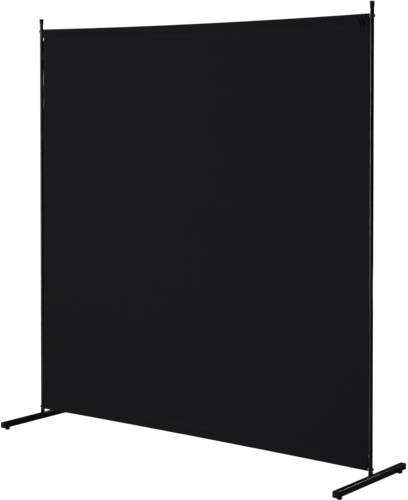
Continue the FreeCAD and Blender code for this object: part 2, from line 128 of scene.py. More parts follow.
class StageSettings(bpy.types.PropertyGroup):
    """Camera and studio."""

    azimuth: bpy.props.FloatProperty(
        name="Azimuth", description="Camera's turn from straight in front",
        default=math.radians(37.825), subtype="ANGLE", unit="ROTATION")
    tilt: bpy.props.FloatProperty(
        name="Tilt", description="How far the camera looks down",
        default=math.radians(1.5), subtype="ANGLE", unit="ROTATION")
    camera_place: bpy.props.FloatVectorProperty(
        name="Camera Place", description="Where the camera stands",
        default=(3.4884, -4.4046, 1.4498), size=3, subtype="TRANSLATION", unit="LENGTH")
    lens: bpy.props.FloatProperty(
        name="Lens", description="Focal length in millimetres", default=96.38, min=10.0, max=300.0)
    shift: bpy.props.FloatProperty(
        name="Shift", description="Vertical lens shift", default=-0.2169, min=-1.0, max=1.0)
    key: bpy.props.FloatProperty(
        name="Key Light", description="Power of the tall soft box", default=60.0, min=0.0,
        subtype="POWER", unit="POWER")
    ridge: bpy.props.FloatProperty(
        name="Low Light", description="Power of the small soft box near the right foot",
        default=1.9, min=0.0, subtype="POWER", unit="POWER")
    upper: bpy.props.FloatProperty(
        name="Upper Light", default=90.0,
        description="Power of the wide soft box that lights the cloth from above",
        min=0.0, subtype="POWER", unit="POWER")
    rim: bpy.props.FloatProperty(
        name="High Light", description="Power of the high soft box behind", default=12.0,
        min=0.0, subtype="POWER", unit="POWER")
    wide: bpy.props.FloatProperty(
        name="Wide Light", description="Strength of the even light on the cloth", default=2.3,
        min=0.0)
    ambient: bpy.props.FloatProperty(
        name="Ambient", description="Brightness of the studio's walls", default=0.11, min=0.0)
    reflection: bpy.props.FloatProperty(
        name="Reflection", description="Brightness of the walls as gloss shows them",
        default=0.014, min=0.0)
    glow_right: bpy.props.FloatProperty(
        name="Floor Light Offset", description="How far right of the middle the floor is brightest",
        default=0.9, subtype="DISTANCE", unit="LENGTH")
    floor_glow: bpy.props.FloatProperty(
        name="Floor Light", description="Light of the floor itself", default=0.18, min=0.0)


# ----------------------------------------
# Places taken from the frame
# ----------------------------------------


def middle(piece):
    """Centre of a frame piece's box."""
    low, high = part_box(piece)
    return (low + high) / 2


class Sewing:
    """Where the cloth goes, worked out from the frame's nodes."""

    def __init__(self, cloth):
        low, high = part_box("fabric_panel")
        self.layer = cloth.layer
        self.gap = cloth.layer * 1.1
        self.rod = {"top": middle("top_rod_left").z, "bottom": middle("bottom_rod_left").z}
        self.way = {"top": -1.0, "bottom": 1.0}
        self.radius = high.z - self.rod["top"] - cloth.layer / 2
        self.edge = high.x
        self.hem = cloth.side_hem
        self.allowance = cloth.seam_allowance
        self.seam_at = {level: self.rod[level] + self.way[level] * POCKET_DEPTH
                        for level in LEVELS}
        self.pucker = cloth.pucker
        self.stitch = cloth.stitch
        self.thread = cloth.thread
        self.bow = {"top": -cloth.top_bow, "bottom": cloth.low_bow}
        # Where the bow ends: inside its insert a rod stays straight.
        self.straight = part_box("top_right_rod_insert")[0].x


def smooth(low, high, value):
    """Smooth step from 0 at low to 1 at high."""
    t = np.clip((value - low) / (high - low), 0.0, 1.0)
    return t * t * (3.0 - 2.0 * t)


def bell(value, centre, width):
    """Bell curve of height 1."""
    return np.exp(-(((value - centre) / width) ** 2))


def wander(x, pitch, seed):
    """Slow random wave between -1 and 1 along one line of numbers."""
    flat = np.atleast_1d(x)
    out = [noise.noise(Vector((float(v) / pitch, seed * 7.31, seed * 1.7))) for v in flat.ravel()]
    return np.array(out).reshape(flat.shape) * 1.6


# ----------------------------------------
# Shape of the stretched cloth
# ----------------------------------------

# Folds at the pockets' ends, in millimetres. Each row: side (-1 left, 1 right), level, distance
# from the cloth's edge on the rod, distance from it under the seam, half width, height (less than
# 0 for a crease), and how far the fold runs past the seam.
FOLDS = (
    (1, "top", 36.0, 28.5, 2.6, 3.9, 32.0),
    (1, "top", 44.0, 35.5, 2.3, -4.4, 36.0),
    (1, "top", 56.0, 46.0, 4.4, 2.2, 26.0),
    (1, "top", 27.0, 22.0, 2.1, -4.6, 32.0),
    (1, "top", 17.0, 12.5, 3.2, 3.4, 38.0),
    (1, "top", 6.0, 4.0, 2.4, 1.2, 20.0),
    (1, "top", 78.0, 72.0, 5.0, 0.9, 15.0),
    (-1, "top", 20.0, 38.0, 4.6, 1.9, 20.0),
    (-1, "top", 3.0, 23.0, 2.8, -3.0, 14.0),
    (-1, "top", 50.0, 62.0, 5.0, 0.8, 16.0),
    (1, "bottom", 12.0, 9.0, 3.4, 1.2, 20.0),
    (1, "bottom", 21.0, 17.0, 2.0, -1.1, 18.0),
    (1, "bottom", 31.0, 27.0, 3.6, 1.0, 18.0),
    (1, "bottom", 55.0, 49.0, 5.0, 0.5, 16.0),
    (-1, "bottom", 10.0, 14.0, 3.6, 1.2, 22.0),
    (-1, "bottom", 19.0, 25.0, 2.2, -1.0, 18.0),
    (-1, "bottom", 30.0, 38.0, 4.2, 0.9, 20.0),
    (-1, "bottom", 54.0, 63.0, 5.4, 0.5, 16.0),
)

# Share of a fold's height that stays on the rod itself, and where along the pocket it grows back.
FOLD_ON_ROD = 0.3
FOLD_GROWS = (-0.009, 0.003)

# Heights of the cloth's small waves: the gathers along a seam, the drag round a rod, the waves
# and the curl of a side, the drag lines from a corner, and the slow wave over the whole panel.
SEAM_GATHER = 0.00042
ROD_DRAG = 0.0006
SIDE_WAVE = 0.00055
SIDE_CURL = 0.0006
CORNER_DRAG = 0.0007
SLOW_WAVE = 0.0010

# How far each corner's seam end is drawn in from the side, and how far along the height, in
# millimetres like the next two.
DRAWN_IN = {(-1, "top"): (4.0, 7.0), (1, "top"): (0.5, 10.0),
            (-1, "bottom"): (1.8, 9.0), (1, "bottom"): (0.5, 10.0)}
# How far the sides are drawn in at mid height, and how far a pocket's mouth laps its upright.
SIDE_DRAW = {-1: 1.1, 1: -0.3}
MOUTH_LAP = {(-1, "top"): 3.2, (1, "top"): 0.6, (-1, "bottom"): 1.5, (1, "bottom"): 0.6}


def rod_bow(sew, x, z):
    """How far up a point moves as the stretched cloth draws the two rods together."""
    share = np.clip((z - sew.rod["bottom"]) / (sew.rod["top"] - sew.rod["bottom"]), 0.0, 1.0)
    sag = np.clip(1.0 - (x / sew.straight) ** 2, 0.0, 1.0)
    return sag * (sew.bow["top"] * share + sew.bow["bottom"] * (1.0 - share))


def bow_mesh(sew, mesh):
    """Move a finished mesh with the rods as they bow."""
    spots = np.empty(len(mesh.vertices) * 3)
    mesh.vertices.foreach_get("co", spots)
    spots = spots.reshape(-1, 3)
    spots[:, 2] += rod_bow(sew, spots[:, 0], spots[:, 2])
    mesh.vertices.foreach_set("co", spots.ravel())
    mesh.update()


def side_shift(sew, x, z):
    """How far the cloth's edge moves towards the middle of the panel, for points near a side."""
    out = np.zeros_like(x)
    for side in (-1, 1):
        near = smooth(sew.edge - 0.075, sew.edge, side * x)
        middle_z = (sew.seam_at["top"] + sew.seam_at["bottom"]) / 2
        half = (sew.seam_at["top"] - sew.seam_at["bottom"]) / 2
        along = np.clip(np.abs(z - middle_z) / half, 0.0, 1.0)
        draw = SIDE_DRAW[side] * MM * (1.0 - smooth(0.90, 1.0, along))
        for level in LEVELS:
            seam = sew.seam_at[level]
            depth, reach = DRAWN_IN[(side, level)]
            beyond = sew.way[level] * (z - seam)
            reach_here = np.where(beyond > 0, reach * 1.6, reach * 0.8) * MM
            draw = draw + depth * MM * np.exp(-((beyond / reach_here) ** 2))
            rod_part = smooth(0.012, 0.022, np.abs(z - seam)) * (beyond < 0)
            draw = draw - MOUTH_LAP[(side, level)] * MM * rod_part
        out = out - side * draw * near
    return out


def folds(sew, x, z, level):
    """Height of the folds at both ends of a pocket, 0 where there is none."""
    total = np.zeros_like(x)
    along = sew.way[level] * (z - sew.rod[level])
    for side, where, on_rod, below, width, height, tail in FOLDS:
        if where != level:
            continue
        end = POCKET_DEPTH + tail * MM
        inwards = on_rod + (below - on_rod) * smooth(-0.004, POCKET_DEPTH, along)
        centre = (sew.edge - inwards * MM) * side
        wide = width * MM * (1.0 + 0.35 * smooth(POCKET_DEPTH, end, along))
        wide = wide * np.where(x > centre, 0.75, 1.2)
        past = 1.0 - smooth(POCKET_DEPTH - 0.004, end, along)
        if height < 0:
            past = past * smooth(0.006, 0.016, along)
        total += height * MM * bell(x, centre, wide) * past
    over_rod = FOLD_ON_ROD + (1.0 - FOLD_ON_ROD) * smooth(*FOLD_GROWS, along)
    return total * over_rod * sew.pucker


def seam_ripple(sew, x, z, seam, seed):
    """Small even gathers that a lockstitch leaves on both sides of its line."""
    waves = (wander(x, 0.016, seed) * 0.55 + wander(x, 0.041, seed + 3) * 0.45)
    fade = np.exp(-np.abs(z - seam) / 0.011)
    return SEAM_GATHER * sew.pucker * waves * fade


def flat_waves(sew, x, z):
    """How far the flat part of the cloth stands forward (-) or back (+) of its plane."""
    out = np.zeros_like(x)
    for level, seed in (("top", 11), ("bottom", 23)):
        out -= folds(sew, x, z, level) * 0.85
        out += seam_ripple(sew, x, z, sew.seam_at[level], seed)
    for side, seed in ((-1, 41), (1, 57)):
        near = np.exp(-np.maximum(sew.edge - side * x, 0.0) / 0.016)
        out += SIDE_WAVE * sew.pucker * wander(z, 0.055, seed) * near
        curl = np.exp(-np.maximum(sew.edge - side * x, 0.0) / 0.008)
        out += SIDE_CURL * wander(z, 0.21, seed + 5) * curl
    # Long shallow drag lines that run in from the corners, and a slow overall wave.
    for side in (-1, 1):
        for level, slope in (("top", 1.0), ("bottom", -1.0)):
            dx = sew.edge - side * x
            dz = np.abs(z - sew.seam_at[level])
            ray = np.arctan2(dz, np.maximum(dx, 1e-6))
            far = np.hypot(dx, dz)
            out += (CORNER_DRAG * np.sin(ray * 17.0 + 2.1 * side + slope) * bell(ray, 0.8, 0.55)
                    * smooth(0.02, 0.10, far) * np.exp(-far / 0.34))
    slow = [noise.noise(Vector((float(a) * 1.9, float(b) * 1.2, 3.7))) for a, b in
            zip(np.ravel(x), np.ravel(z))]
    mid = smooth(0.0, 0.25, np.minimum(sew.seam_at["top"] - z, z - sew.seam_at["bottom"]))
    out += SLOW_WAVE * np.array(slow).reshape(x.shape) * mid
    return out


ROD_ARCS = 10


def pocket_section(sew, crowd):
    """A pocket's section, from the seam on the front round the rod to the flap's raw edge.

    Gives rows of (across, along, kind): across is +Y, along is measured from the rod's axis
    towards the seam. crowd is 1 where the side hems lie between the layers, and 0 elsewhere.
    """
    radius, tip, ease = sew.radius, POCKET_DEPTH, MOUTH_EASE
    near_tip = tip - ease / 2
    slope = math.tan(math.asin(radius / near_tip))
    lean = math.acos(radius / near_tip)
    touch = radius * math.cos(lean)
    widest = radius * math.sin(lean)
    layers_behind = sew.gap * (2.0 + 3.0 * crowd)
    inner = sew.gap * (1.0 + 1.0 * crowd)

    def lift(along):
        if along > near_tip - ease / 2:
            return slope * (near_tip + ease / 2 - along) ** 2 / (2 * ease)
        return slope * (near_tip - along)

    rows = []
    for part in (1.0, 0.93, 0.84, 0.70, 0.54, 0.38, 0.20):
        along = touch + (tip - touch) * part
        rows.append((-lift(along), along, "front"))
    for step in range(ROD_ARCS + 1):
        angle = lean + (2 * math.pi - 2 * lean) * step / ROD_ARCS
        rows.append((-radius * math.sin(angle), radius * math.cos(angle), "rod"))
    for part in (0.22, 0.45, 0.66, 0.84, 1.0):
        along = touch + (tip - touch) * part
        across = layers_behind + lift(along) * (1 - layers_behind / widest)
        rows.append((across, along, "back"))
    end = tip + sew.allowance
    turn = (layers_behind - inner) / 2
    for part in (0.35, 0.7, 1.0):
        rows.append((layers_behind, tip + (end - turn - tip) * part, "flap"))
    for step in (1, 2, 3):
        angle = math.pi * step / 4
        rows.append((inner + turn + turn * math.cos(angle), end - turn + turn * math.sin(angle),
                     "flap"))
    for part in (1.0, 0.55, 0.12):
        rows.append((inner, tip + (end - turn - tip) * part, "flap"))
    return rows


# The cloth's mesh: spacing of its columns in the middle and near a side, how far in the close ones
# reach, and how many at each side run the whole height. Of the others, one in four does.
COLUMN_STEP = 0.0054
CLOSE_COLUMN_STEP = 0.0021
CLOSE_BAND = 0.11
SIDE_COLUMNS = 61
ONE_COLUMN_IN = 4
# Spacing of its rows: growing below a seam, and even over the middle. Rows near a pocket hold every
# column.
ROW_STEPS = (0.0030, 0.0030, 0.0034, 0.0038, 0.0042, 0.0048, 0.0054, 0.006, 0.007, 0.008, 0.009,
             0.0105, 0.012)
ROW_STEP = 0.0190
FULL_ROWS = 6


def cloth_columns(sew):
    """Columns across the cloth, as rows of (x, layer offset, flat x, how crowded)."""
    half = [0.0]
    while half[-1] < sew.edge - CLOSE_BAND:
        half.append(half[-1] + COLUMN_STEP)
    rest = sew.edge - sew.gap / 2 - half[-1]
    count = int(round(rest / CLOSE_COLUMN_STEP))
    half += [half[-1] + rest * (i + 1) / count for i in range(count)]
    turn = sew.gap / 2
    side = [(x, 0.0, x) for x in half]
    for k in (1, 2, 3):
        angle = math.pi * k / 4
        side.append((sew.edge - turn + turn * math.sin(angle), turn - turn * math.cos(angle),
                     sew.edge - turn + turn * angle))
    for part in (0.0, 0.2, 0.45, 0.72, 1.0):
        side.append((sew.edge - turn - (sew.hem - turn) * part, sew.gap,
                     sew.edge - turn + turn * math.pi + (sew.hem - turn) * part))
    both = [(-x, off, -flat) for x, off, flat in reversed(side[1:])] + side
    return [(x, off, flat, float(smooth(sew.hem + 0.010, sew.hem + 0.003, sew.edge - abs(x))))
            for x, off, flat in both]


def middle_rows(sew):
    """Heights of the flat part's rows between the two seams."""
    top, low = sew.seam_at["top"], sew.seam_at["bottom"]
    near = []
    gone = 0.0
    for step in ROW_STEPS:
        gone += step
        near.append(gone)
    count = int(round((top - low - 2 * gone) / ROW_STEP))
    span = (top - low - 2 * gone) / count
    down = [top - d for d in near] + [top - gone - span * (i + 1) for i in range(count)]
    return down + [low + d for d in reversed(near[:-1])]


def sew_cloth(sew):
    """Make the whole cloth as one turned and folded sheet: gives the object and its flat size."""
    columns = cloth_columns(sew)
    pockets = {crowd: pocket_section(sew, crowd) for crowd in sorted({c[3] for c in columns})}
    heights = middle_rows(sew)

    across = []
    for _, _, _, crowd in columns:
        line = [(y, sew.rod["top"] - along) for y, along, _ in reversed(pockets[crowd])]
        line += [(0.0, z) for z in heights]
        line += [(y, sew.rod["bottom"] + along) for y, along, _ in pockets[crowd]]
        across.append(line)
    section = np.array(across)                      # column, row, (y, z)
    pocket_kinds = [kind for _, _, kind in next(iter(pockets.values()))]
    kinds = np.array(pocket_kinds[::-1] + ["flat"] * len(heights) + pocket_kinds)
    ahead = np.gradient(section, axis=1)
    size = np.linalg.norm(ahead, axis=2, keepdims=True)
    ahead = ahead / np.maximum(size, 1e-12)
    inside = np.stack([-ahead[:, :, 1], ahead[:, :, 0]], axis=2)
    x = np.array([c[0] for c in columns])[:, None] + np.zeros(section.shape[:2])
    offset = np.array([c[1] for c in columns])[:, None]
    flat_x = np.array([c[2] for c in columns])
    length = np.linalg.norm(np.diff(section[len(columns) // 2], axis=0), axis=1)
    flat_z = np.concatenate([[0.0], np.cumsum(length)])
    flat_z -= flat_z[-1] / 2

    y = section[:, :, 0] + inside[:, :, 0] * offset
    z = section[:, :, 1] + inside[:, :, 1] * offset

    waves = flat_waves(sew, x, z)
    for level in LEVELS:
        rod = sew.rod[level]
        along = sew.way[level] * (z - rod)
        sheet_part = smooth(0.004, POCKET_DEPTH, along)
        at_seam = flat_waves(sew, x, np.full_like(x, sew.seam_at[level]))
        body = np.isin(kinds, ("front", "rod", "back"))[None, :] & (
            np.abs(z - rod) < POCKET_DEPTH + 0.0005)
        height = folds(sew, x, z, level)
        drag = (wander(x + along * 0.5, 0.034, 71) * 0.5 + 0.5) * ROD_DRAG * sew.pucker
        drag = drag * bell(along, 0.015, 0.012)
        out = (height + drag) * (1.0 - 0.75 * smooth(0.016, POCKET_DEPTH, along))
        shift_y = at_seam * sheet_part - inside[:, :, 0] * out
        shift_z = -inside[:, :, 1] * out
        y = np.where(body, y + shift_y, y)
        z = np.where(body, z + shift_z, z)
        waves = np.where(body, 0.0, waves)
    y = y + waves
    x = x + side_shift(sew, x, z)

    full = len(pocket_kinds) + FULL_ROWS
    fine = set(range(full)) | set(range(len(kinds) - full, len(kinds)))
    keep = [i for i in range(len(columns))
            if i < SIDE_COLUMNS or i >= len(columns) - SIDE_COLUMNS
            or (i - SIDE_COLUMNS) % ONE_COLUMN_IN == 0]
    bm = bmesh.new()
    uv_of = {}
    grid = {}

    def vertex(i, j):
        if (i, j) not in grid:
            grid[i, j] = bm.verts.new((x[i, j], y[i, j], z[i, j]))
            uv_of[grid[i, j]] = (flat_x[i], -flat_z[j])
        return grid[i, j]

    everything = list(range(len(columns)))
    for j in range(len(kinds) - 1):
        upper = everything if j in fine else keep
        lower = everything if j + 1 in fine else keep
        rough = keep if upper is keep or lower is keep else everything
        for a, b in zip(rough, rough[1:]):
            top_line = [i for i in upper if a <= i <= b]
            low_line = [i for i in lower if a <= i <= b]
            bm.faces.new([vertex(i, j) for i in top_line]
                         + [vertex(i, j + 1) for i in reversed(low_line)])
    layer = bm.loops.layers.uv.new("cloth_flat")
    for face in bm.faces:
        face.smooth = True
        for loop in face.loops:
            loop[layer].uv = uv_of[loop.vert]
    cloth = bmesh_object("cloth_panel", bm)
    return cloth, (flat_x[-1] - flat_x[0], flat_z[-1] - flat_z[0])


def bmesh_object(name, bm):
    """Object in the scene that holds an edit mesh, which is freed."""
    mesh = bpy.data.meshes.new(name)
    bm.to_mesh(mesh)
    bm.free()
    obj = bpy.data.objects.new(name, mesh)
    bpy.context.scene.collection.objects.link(obj)
    return obj


def give_thickness(cloth, thickness):
    """Give the sheet its two faces and its cut edges."""
    pick(cloth)
    wall = cloth.modifiers.new("wall", "SOLIDIFY")
    wall.thickness = thickness
    wall.offset = 0.0
    wall.use_rim = True
    bpy.ops.object.modifier_apply(modifier=wall.name)
    bm = bmesh.new()
    bm.from_mesh(cloth.data)
    if bm.calc_volume(signed=True) < 0:
        bmesh.ops.reverse_faces(bm, faces=bm.faces)
    bm.to_mesh(cloth.data)
    bm.free()


def pick(*objects):
    """Select these objects only, and make the first one active."""
    bpy.ops.object.select_all(action="DESELECT")
    for obj in objects:
        obj.select_set(True)
    bpy.context.view_layer.objects.active = objects[0]


class SewPanel(bpy.types.Operator):
    """Sew the cloth with its pockets and hems, and stretch it on the rods"""

    bl_idname = "divider.sew_panel"
    bl_label = "Sew the Cloth"

    def execute(self, context):
        sew = Sewing(context.scene.divider_cloth)
        cloth, flat = sew_cloth(sew)
        give_thickness(cloth, sew.layer)
        bow_mesh(sew, cloth.data)
        cloth.data.materials.append(cloth_material(context.scene.divider_cloth))
        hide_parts("fabric_panel")
        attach(cloth, "frame")
        context.scene["cloth_flat"] = flat
        return {"FINISHED"}


# ----------------------------------------
# Stitching
# ----------------------------------------


# How far a pocket's two rows of stitches lie beyond its mouth, how far they stop short of the
# sides, how far a hem's row lies from its raw edge, and how far it stops short of the pockets.
POCKET_ROWS = (("seam", 0.0012), ("edge", 0.0075))
ROW_MARGIN = 0.004
HEM_ROW = 0.0022
HEM_MARGIN = 0.013
THREAD_SIDES = 6


def thread_lines(sew):
    """Rows of stitching as (name, start, end), with both ends as (x, z)."""
    lines = []
    run = sew.edge - ROW_MARGIN
    for level in LEVELS:
        for row, shift in POCKET_ROWS:
            z = sew.seam_at[level] + sew.way[level] * shift
            lines.append((level + "_" + row, (-run, z), (run, z)))
    hem = sew.edge - sew.hem + HEM_ROW
    high, low = sew.seam_at["top"] - HEM_MARGIN, sew.seam_at["bottom"] + HEM_MARGIN
    for name, side in (("left_hem", -1), ("right_hem", 1)):
        lines.append((name, (side * hem, high), (side * hem, low)))
    return lines


def stitch_shape():
    """One stitch along +X, 1 long, 1 wide and 1 high, with its ends sunk in the cloth."""
    rings = ((-0.5, 0.34, -0.95), (-0.36, 0.86, -0.12), (0.0, 1.0, 0.10), (0.36, 0.86, -0.12),
             (0.5, 0.34, -0.95))
    points, faces = [], []
    sides = THREAD_SIDES
    for along, size, rise in rings:
        for k in range(sides):
            angle = math.tau / sides * k
            points.append((along, 0.5 * size * math.sin(angle),
                           0.5 * size * math.cos(angle) + rise * 0.5))
    for first in range(0, sides * (len(rings) - 1), sides):
        for k in range(sides):
            n = (k + 1) % sides
            faces.append((first + k, first + n, first + sides + n, first + sides + k))
    faces.append(tuple(range(sides - 1, -1, -1)))
    faces.append(tuple(range(len(points) - sides, len(points))))
    return np.array(points), faces


def sew_thread(sew, name, start, end, face):
    """Lay one row of stitches on a face of the cloth: face is -1 on the front and 1 behind."""
    start, end = np.array(start), np.array(end)
    total = float(np.linalg.norm(end - start))
    count = int(total / sew.stitch)
    step = (end - start) / count
    centres = start + step * (np.arange(count)[:, None] + 0.5)
    x, z = centres[:, 0], centres[:, 1]
    crowd = smooth(sew.hem + 0.010, sew.hem + 0.003, sew.edge - np.abs(x))
    behind = sew.gap * (2.0 + 3.0 * crowd) if "hem" not in name else np.full_like(x, sew.gap)
    plane = np.where(face < 0, 0.0, behind)
    reach = step * 0.5
    y0 = flat_waves(sew, x - reach[0], z - reach[1])
    y1 = flat_waves(sew, x + reach[0], z + reach[1])
    y = (y0 + y1) / 2 + plane + face * (sew.layer / 2 + sew.thread * 0.12)
    shape, faces = stitch_shape()
    long, thick = sew.stitch * 0.90, sew.thread
    direction = step / np.linalg.norm(step)
    across = np.array((-direction[1], direction[0]))
    points = []
    for i in range(count):
        slant = (y1[i] - y0[i]) / sew.stitch
        shift_x = float(side_shift(sew, np.array([x[i]]), np.array([z[i]]))[0])
        for a, b, c in shape:
            points.append((x[i] + shift_x + direction[0] * a * long + across[0] * b * thick,
                           y[i] + slant * a * long + face * c * thick,
                           z[i] + direction[1] * a * long + across[1] * b * thick))
    bm = bmesh.new()
    corners = [bm.verts.new(point) for point in points]
    for first in range(0, len(points), len(shape)):
        for f in faces:
            bm.faces.new([corners[first + v] for v in f]).smooth = True
    bmesh.ops.recalc_face_normals(bm, faces=bm.faces)
    return bmesh_object(name, bm)


class StitchSeams(bpy.types.Operator):
    """Stitch the pocket seams and the side hems on both faces"""

    bl_idname = "divider.stitch_seams"
    bl_label = "Stitch the Seams"

    def execute(self, context):
        settings = context.scene.divider_cloth
        sew = Sewing(settings)
        thread = thread_material(settings)
        for name, start, end in thread_lines(sew):
            for face, word in ((-1, "front"), (1, "back")):
                row = sew_thread(sew, "%s_stitches_%s" % (name, word), start, end, face)
                bow_mesh(sew, row.data)
                row.data.materials.append(thread)
                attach(row, "frame")
        return {"FINISHED"}


# ----------------------------------------
# Materials
# ----------------------------------------


def new_group(name, inputs, outputs):
    """Node group with named sockets: rows of (name, socket type, default)."""
    group = bpy.data.node_groups.new(name, "ShaderNodeTree")
    for label, kind, default in inputs:
        socket = group.interface.new_socket(label, in_out="INPUT", socket_type=kind)
        if default is not None:
            socket.default_value = default
    for label, kind in outputs:
        group.interface.new_socket(label, in_out="OUTPUT", socket_type=kind)
    return group, group.nodes.new("NodeGroupInput"), group.nodes.new("NodeGroupOutput")


def node(tree, kind, sockets=None, **settings):
    """Add a node with its settings, then the values of its sockets."""
    made = tree.nodes.new(kind)
    for key, content in settings.items():
        setattr(made, key, content)
    fill(made, sockets or {})
    return made


def fill(made, sockets):
    """Give sockets their values, and link those that are given another node's output."""
    for socket, content in sockets.items():
        if isinstance(content, bpy.types.NodeSocket):
            made.id_data.links.new(content, made.inputs[socket])
        else:
            made.inputs[socket].default_value = content


def maths(tree, operation, *terms):
    """Output of a Math node on numbers or other nodes' outputs."""
    return node(tree, "ShaderNodeMath", dict(enumerate(terms)), operation=operation).outputs[0]


def ramp(tree, value, span, ends, interpolation="LINEAR"):
    """Output that goes from one end to the other while the value crosses the span."""
    made = node(tree, "ShaderNodeMapRange", interpolation_type=interpolation,
                sockets={"Value": value, "From Min": span[0], "From Max": span[1],
                         "To Min": ends[0], "To Max": ends[1]})
    return made.outputs["Result"]


def blend(tree, factor, a, b, kind="RGBA"):
    """Output of a Mix node: plain colours may be given without their alpha."""
    if kind == "RGBA":
        a, b = [(*c, 1) if isinstance(c, (tuple, list)) else c for c in (a, b)]
    made = node(tree, "ShaderNodeMix", {"Factor": factor, "A": a, "B": b}, data_type=kind)
    return made.outputs["Result"]


def bumps(tree, height, strength, depth):
    """Normal raised by a height."""
    made = node(tree, "ShaderNodeBump",
                {"Strength": strength, "Distance": depth, "Height": height})
    return made.outputs["Normal"]


def shades(colour, *tones):
    """A colour made darker or lighter by each tone."""
    return [tuple(part * tone for part in colour) for tone in tones]


def handling_group():
    """Uneven shine and faint dust, as on a surface that has been handled and wiped."""
    found = bpy.data.node_groups.get("handled_surface")
    if found:
        return found
    group, start, end = new_group(
        "handled_surface",
        [("Vector", "NodeSocketVector", None), ("Colour", "NodeSocketColor", (0, 0, 0, 1)),
         ("Dust Colour", "NodeSocketColor", (0.1, 0.1, 0.1, 1)),
         ("Dust", "NodeSocketFloat", 0.02), ("Roughness", "NodeSocketFloat", 0.3),
         ("Unevenness", "NodeSocketFloat", 0.05)],
        [("Colour", "NodeSocketColor"), ("Roughness", "NodeSocketFloat")])
    cloud = node(group, "ShaderNodeTexNoise",
                 {"Vector": start.outputs["Vector"], "Scale": 9.0, "Detail": 5.0,
                  "Roughness": 0.6}).outputs["Fac"]
    specks = node(group, "ShaderNodeTexNoise",
                  {"Vector": start.outputs["Vector"], "Scale": 620.0, "Detail": 2.0}).outputs["Fac"]
    dusty = maths(group, "MULTIPLY", ramp(group, specks, (0.62, 0.74), (0.0, 1.0)),
                  ramp(group, cloud, (0.35, 0.75), (0.25, 1.0)))
    amount = maths(group, "MULTIPLY", dusty, start.outputs["Dust"])
    swing = maths(group, "SUBTRACT", cloud, 0.5)
    fill(end, {
        "Colour": blend(group, amount, start.outputs["Colour"], start.outputs["Dust Colour"]),
        "Roughness": maths(group, "MULTIPLY_ADD", swing, start.outputs["Unevenness"],
                           start.outputs["Roughness"])})
    return group


def grain_group():
    """Fine raised grain: orange peel of a powder coat, or the spark-eroded skin of a mould."""
    found = bpy.data.node_groups.get("fine_grain")
    if found:
        return found
    group, start, end = new_group(
        "fine_grain",
        [("Vector", "NodeSocketVector", None), ("Scale", "NodeSocketFloat", 900.0),
         ("Sharpness", "NodeSocketFloat", 0.5)],
        [("Height", "NodeSocketFloat")])
    place = {"Vector": start.outputs["Vector"], "Scale": start.outputs["Scale"]}
    coarse = node(group, "ShaderNodeTexNoise", {**place, "Detail": 3.0})
    cells = node(group, "ShaderNodeTexVoronoi", place, feature="SMOOTH_F1")
    fill(end, {"Height": blend(group, start.outputs["Sharpness"], coarse.outputs["Fac"],
                               cells.outputs["Distance"], "FLOAT")})
    return group


def weave_group():
    """Plain weave of fine filament yarns on the cloth's own flat map."""
    found = bpy.data.node_groups.get("plain_weave")
    if found:
        return found
    group, start, end = new_group(
        "plain_weave",
        [("Flat", "NodeSocketVector", None), ("Yarn", "NodeSocketFloat", 0.00042)],
        [("Height", "NodeSocketFloat"), ("Yarn Tone", "NodeSocketFloat"),
         ("Gap Shade", "NodeSocketFloat")])
    split = node(group, "ShaderNodeSeparateXYZ", {0: start.outputs["Flat"]})
    yarns = [maths(group, "DIVIDE", split.outputs[way], start.outputs["Yarn"]) for way in "XY"]
    half_turns = [maths(group, "MULTIPLY", yarn, math.pi) for yarn in yarns]
    over = maths(group, "MULTIPLY", *[maths(group, "SINE", turn) for turn in half_turns])
    hollows = []
    for turn in half_turns:
        rounded = maths(group, "ABSOLUTE", maths(group, "COSINE", turn))
        hollows.append(maths(group, "SUBTRACT", 1.0, maths(group, "POWER", rounded, 3.0)))
    valley = maths(group, "MULTIPLY", *hollows)
    slubs = []
    for stretch in ((0.9, 0.03), (0.03, 0.9)):
        drawn = node(group, "ShaderNodeCombineXYZ",
                     {way: maths(group, "MULTIPLY", yarn, share)
                      for way, yarn, share in zip("XY", yarns, stretch)})
        slubs.append(node(group, "ShaderNodeTexNoise", noise_dimensions="2D",
                          sockets={"Vector": drawn.outputs[0], "Scale": 1.0,
                                   "Detail": 1.0}).outputs["Fac"])
    # The gap output is the mask by which the cloth's colour gets painted shade in the weave's gaps.
    fill(end, {
        "Height": maths(group, "ADD", maths(group, "MULTIPLY", over, 0.35),
                        maths(group, "MULTIPLY", valley, 0.65)),
        "Gap Shade": valley,
        "Yarn Tone": maths(group, "MULTIPLY", maths(group, "ADD", *slubs), 0.5)})
    return group


def new_material(name):
    """Material with a Principled shader, its tree and the shader."""
    material = bpy.data.materials.new(name)
    material.use_nodes = True
    tree = material.node_tree
    tree.nodes.clear()
    shader = node(tree, "ShaderNodeBsdfPrincipled")
    output = node(tree, "ShaderNodeOutputMaterial")
    tree.links.new(shader.outputs[0], output.inputs["Surface"])
    return material, tree, shader


def coated_material(name, colour, roughness, uneven, dust, grain, depth, sharpness, metallic=0.0,
                    specular=0.5, coat=0.0, dust_colour=(0.09,) * 3):
    """A hard finish: colour with faint dust, uneven shine and a fine grain."""
    material, tree, shader = new_material(name)
    place = node(tree, "ShaderNodeTexCoord").outputs["Object"]
    handled = node(tree, "ShaderNodeGroup", node_tree=handling_group(), sockets={
        "Vector": place, "Colour": (*colour, 1), "Dust Colour": (*dust_colour, 1), "Dust": dust,
        "Roughness": roughness, "Unevenness": uneven})
    skin = node(tree, "ShaderNodeGroup", node_tree=grain_group(), sockets={
        "Vector": place, "Scale": grain, "Sharpness": sharpness})
    fill(shader, {
        "Base Color": handled.outputs["Colour"], "Roughness": handled.outputs["Roughness"],
        "Normal": bumps(tree, skin.outputs["Height"], 0.35, depth), "Metallic": metallic,
        "Specular IOR Level": specular, "Coat Weight": coat, "Coat Roughness": 0.12})
    return material


